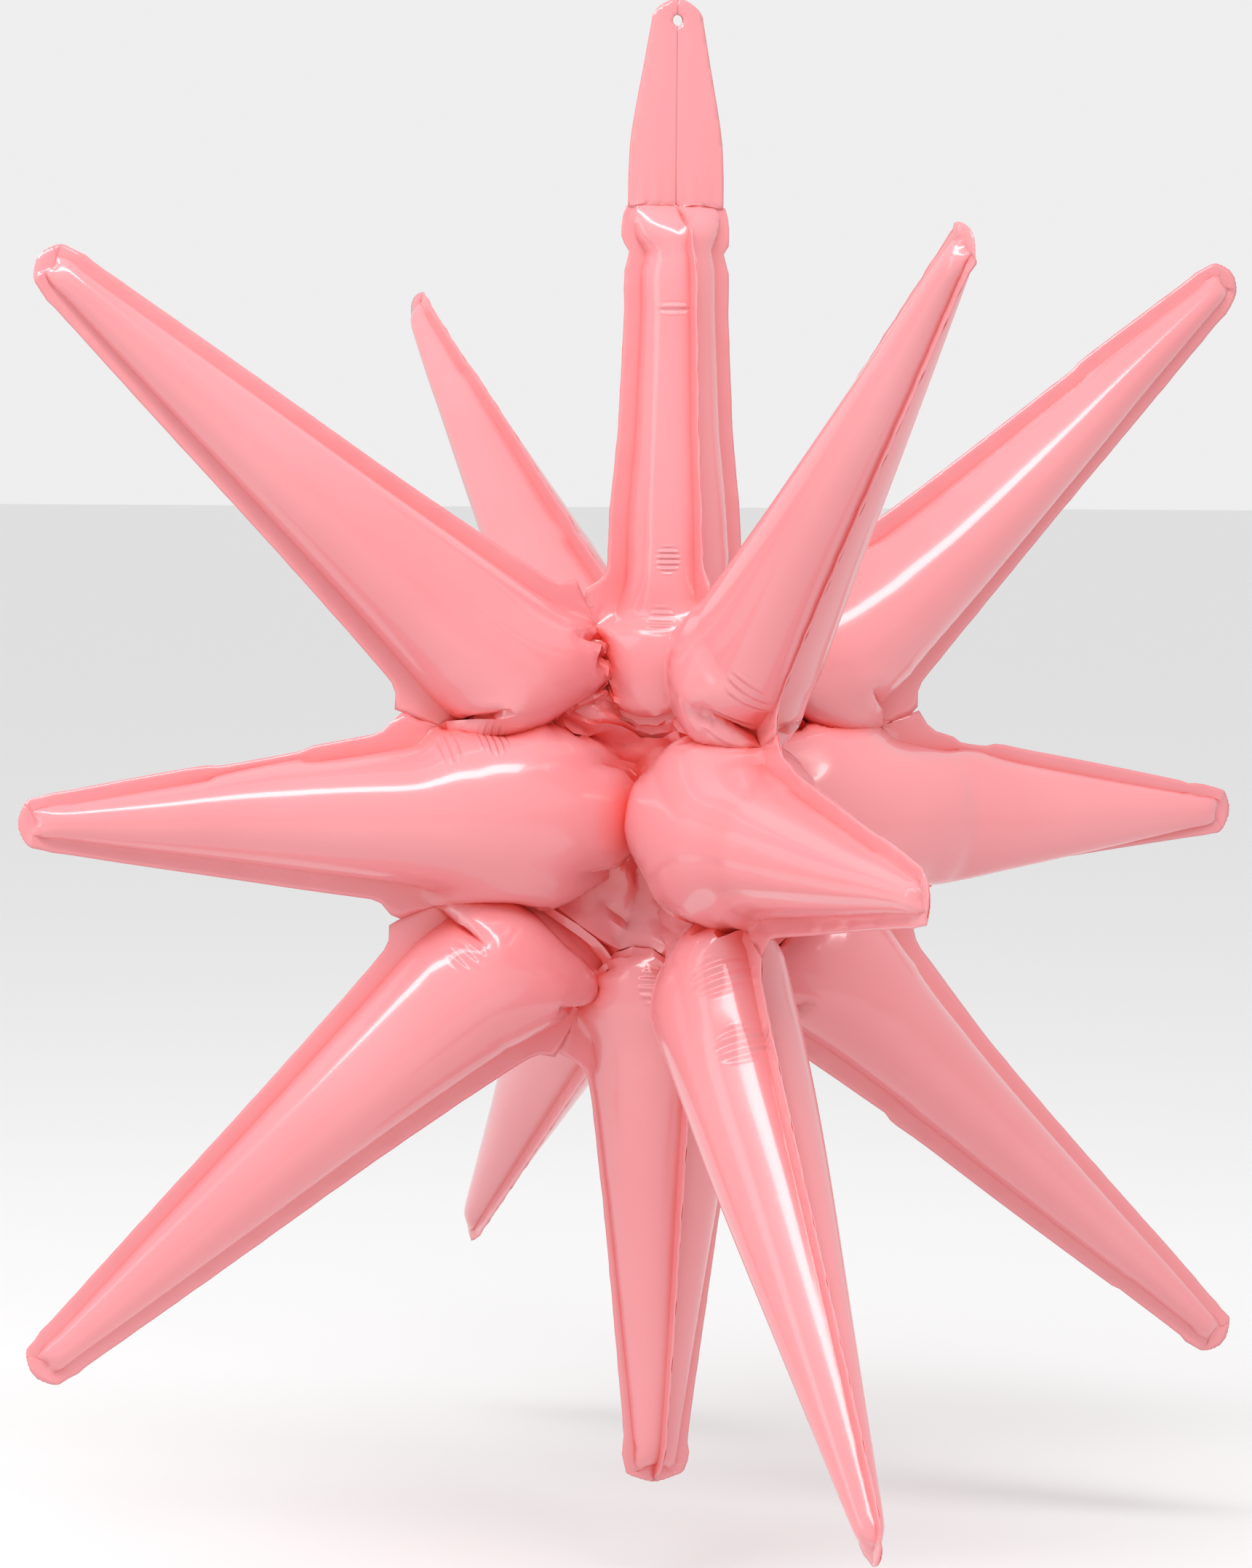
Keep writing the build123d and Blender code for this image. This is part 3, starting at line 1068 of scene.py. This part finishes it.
def pink_foil():
    """Glossy pink film: slightly uneven colour, with painted shade: a deeper red where two films
    face each other closely, standing in for shade and light bounced between them.
    """
    material, nodes, links = new_material("pink_foil_look")
    shader = nodes["Principled BSDF"]
    shader.inputs["Roughness"].default_value = 0.2
    shader.inputs["Coat Weight"].default_value = 0.5
    shader.inputs["Coat Roughness"].default_value = 0.07
    place = nodes.new("ShaderNodeTexCoord")
    tone = add_node(nodes, "TexNoise", {"Scale": 9.0, "Detail": 3.0})
    ramp = nodes.new("ShaderNodeValToRGB")
    ramp.color_ramp.elements[0].position = 0.3
    ramp.color_ramp.elements[0].color = FOIL_DARK
    ramp.color_ramp.elements[1].position = 0.7
    ramp.color_ramp.elements[1].color = FOIL_LIGHT
    # Painted shade: ambient occlusion sets how much deep red is mixed into the base colour in
    # crevices, standing in for shade and light bounced between close films.
    painted_shade_occlusion = add_node(nodes, "AmbientOcclusion", {"Distance": 0.03})
    depth = add_node(nodes, "MapRange",
                     {"From Min": 0.75, "From Max": 0.15, "To Min": 0.0, "To Max": 0.8})
    colour = nodes.new("ShaderNodeMix")
    colour.data_type = "RGBA"
    colour.inputs[7].default_value = FOIL_PAINTED_CREVICE_SHADE
    crinkle = add_node(nodes, "TexNoise", {"Scale": 45.0, "Detail": 4.0})
    bump = add_node(nodes, "Bump", {"Strength": 0.10, "Distance": 0.0015})
    links.new(place.outputs["Object"], tone.inputs["Vector"])
    links.new(place.outputs["Object"], crinkle.inputs["Vector"])
    links.new(tone.outputs["Fac"], ramp.inputs["Fac"])
    links.new(ramp.outputs["Color"], colour.inputs[6])
    links.new(painted_shade_occlusion.outputs["AO"], depth.inputs["Value"])
    links.new(depth.outputs["Result"], colour.inputs[0])
    links.new(colour.outputs[2], shader.inputs["Base Color"])
    links.new(crinkle.outputs["Fac"], bump.inputs["Height"])
    pleats = None
    for name, distance, turn, radius, length, width, period in PLEATS:
        spread = Vector([abs(a) * length + (1 - abs(a)) * width for a in AXIS[name]]) * MM
        height = add_pleats(nodes, links, place, arm_point(name, distance, turn, radius),
                            spread, AXIS[name], period)
        if pleats is not None:
            total = nodes.new("ShaderNodeMath")
            links.new(pleats, total.inputs[0])
            links.new(height, total.inputs[1])
            height = total.outputs[0]
        pleats = height
    folds = add_node(nodes, "Bump", {"Strength": 0.8, "Distance": 0.0005})
    links.new(pleats, folds.inputs["Height"])
    links.new(bump.outputs["Normal"], folds.inputs["Normal"])
    links.new(folds.outputs["Normal"], shader.inputs["Normal"])
    return material


def valve_film_look():
    """Pale film of the valve, which lies inside the tab and neck."""
    material, nodes, links = new_material("valve_film_look")
    shader = nodes["Principled BSDF"]
    shader.inputs["Roughness"].default_value = 0.3
    place = nodes.new("ShaderNodeTexCoord")
    tone = add_node(nodes, "TexNoise", {"Scale": 60.0})
    ramp = nodes.new("ShaderNodeValToRGB")
    ramp.color_ramp.elements[0].color = VALVE_DARK
    ramp.color_ramp.elements[1].color = VALVE_LIGHT
    links.new(place.outputs["Object"], tone.inputs["Vector"])
    links.new(tone.outputs["Fac"], ramp.inputs["Fac"])
    links.new(ramp.outputs["Color"], shader.inputs["Base Color"])
    return material


# ---------- Stage
def camera_back():
    """Unit direction from the star to the camera."""
    a = math.radians(CAMERA_AZIMUTH)
    e = math.radians(CAMERA_ELEVATION)
    return Vector((math.sin(a) * math.cos(e), -math.cos(a) * math.cos(e), math.sin(e)))


def add_camera():
    data = bpy.data.cameras.new("camera")
    camera = bpy.data.objects.new("camera", data)
    bpy.context.scene.collection.objects.link(camera)
    back = camera_back()
    camera.location = Vector(CENTRE * MM) + back * CAMERA_DISTANCE
    camera.rotation_mode = "QUATERNION"
    roll = Quaternion(Vector((0, 0, 1)), math.radians(CAMERA_ROLL))
    camera.rotation_quaternion = (-back).to_track_quat("-Z", "Y") @ roll
    data.lens = LENS
    data.sensor_width = SENSOR_WIDTH
    data.shift_x, data.shift_y = SHIFT
    bpy.context.scene.camera = camera


def add_area_light(name, right, up, toward, size, power):
    """An area light placed beside the camera's line of sight, in metres from the star's middle."""
    back = camera_back()
    side = Vector((0, 0, 1)).cross(back).normalized()
    data = bpy.data.lights.new(name, "AREA")
    data.shape = "RECTANGLE"
    data.size, data.size_y = size
    data.energy = power
    light = bpy.data.objects.new(name, data)
    bpy.context.scene.collection.objects.link(light)
    middle = Vector(CENTRE * MM)
    light.location = middle + side * right + back * toward + Vector((0, 0, up))
    light.rotation_mode = "QUATERNION"
    light.rotation_quaternion = (light.location - middle).to_track_quat("Z", "Y")


def add_stage():
    """Floor, even white surroundings and two soft lights."""
    mesh = bpy.data.meshes.new("floor")
    signs = ((-1, -1), (1, -1), (1, 1), (-1, 1))
    corners = [(x * FLOOR_HALF, y * FLOOR_HALF, FLOOR_Z) for x, y in signs]
    mesh.from_pydata(corners, [], [(0, 1, 2, 3)])
    floor = bpy.data.objects.new("floor", mesh)
    bpy.context.scene.collection.objects.link(floor)
    material, nodes, _ = new_material("floor_look")
    nodes["Principled BSDF"].inputs["Base Color"].default_value = FLOOR_COLOUR
    nodes["Principled BSDF"].inputs["Roughness"].default_value = 0.9
    mesh.materials.append(material)
    world = bpy.data.worlds.new("studio")
    bpy.context.scene.world = world
    world.use_nodes = True
    background = world.node_tree.nodes["Background"]
    background.inputs["Color"].default_value = (1, 1, 1, 1)
    background.inputs["Strength"].default_value = WORLD_STRENGTH
    bpy.context.scene.view_settings.view_transform = "Standard"
    for light in LIGHTS:
        add_area_light(*light)


# ---------- Pieces
FOIL = pink_foil()
VALVE = valve_film_look()


def dress_cad_nodes():
    """Gives the carried-over CAD nodes their looks."""
    for node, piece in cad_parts.items():
        look = VALVE if node.startswith("valve") else FOIL
        piece.data.materials.clear()
        piece.data.materials.append(look)


def add_gores():
    film = inflate()
    for gore_index, gore in enumerate(GORES):
        points, faces = gore_mesh(film, gore_index, gore)
        piece = add_mesh("film_" + gore, points, faces, FOIL)
        thicken(piece)
        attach(piece, "balloon")
        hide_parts("gore_" + gore)


dress_cad_nodes()
add_gores()
add_tab()
add_stage()
add_camera()
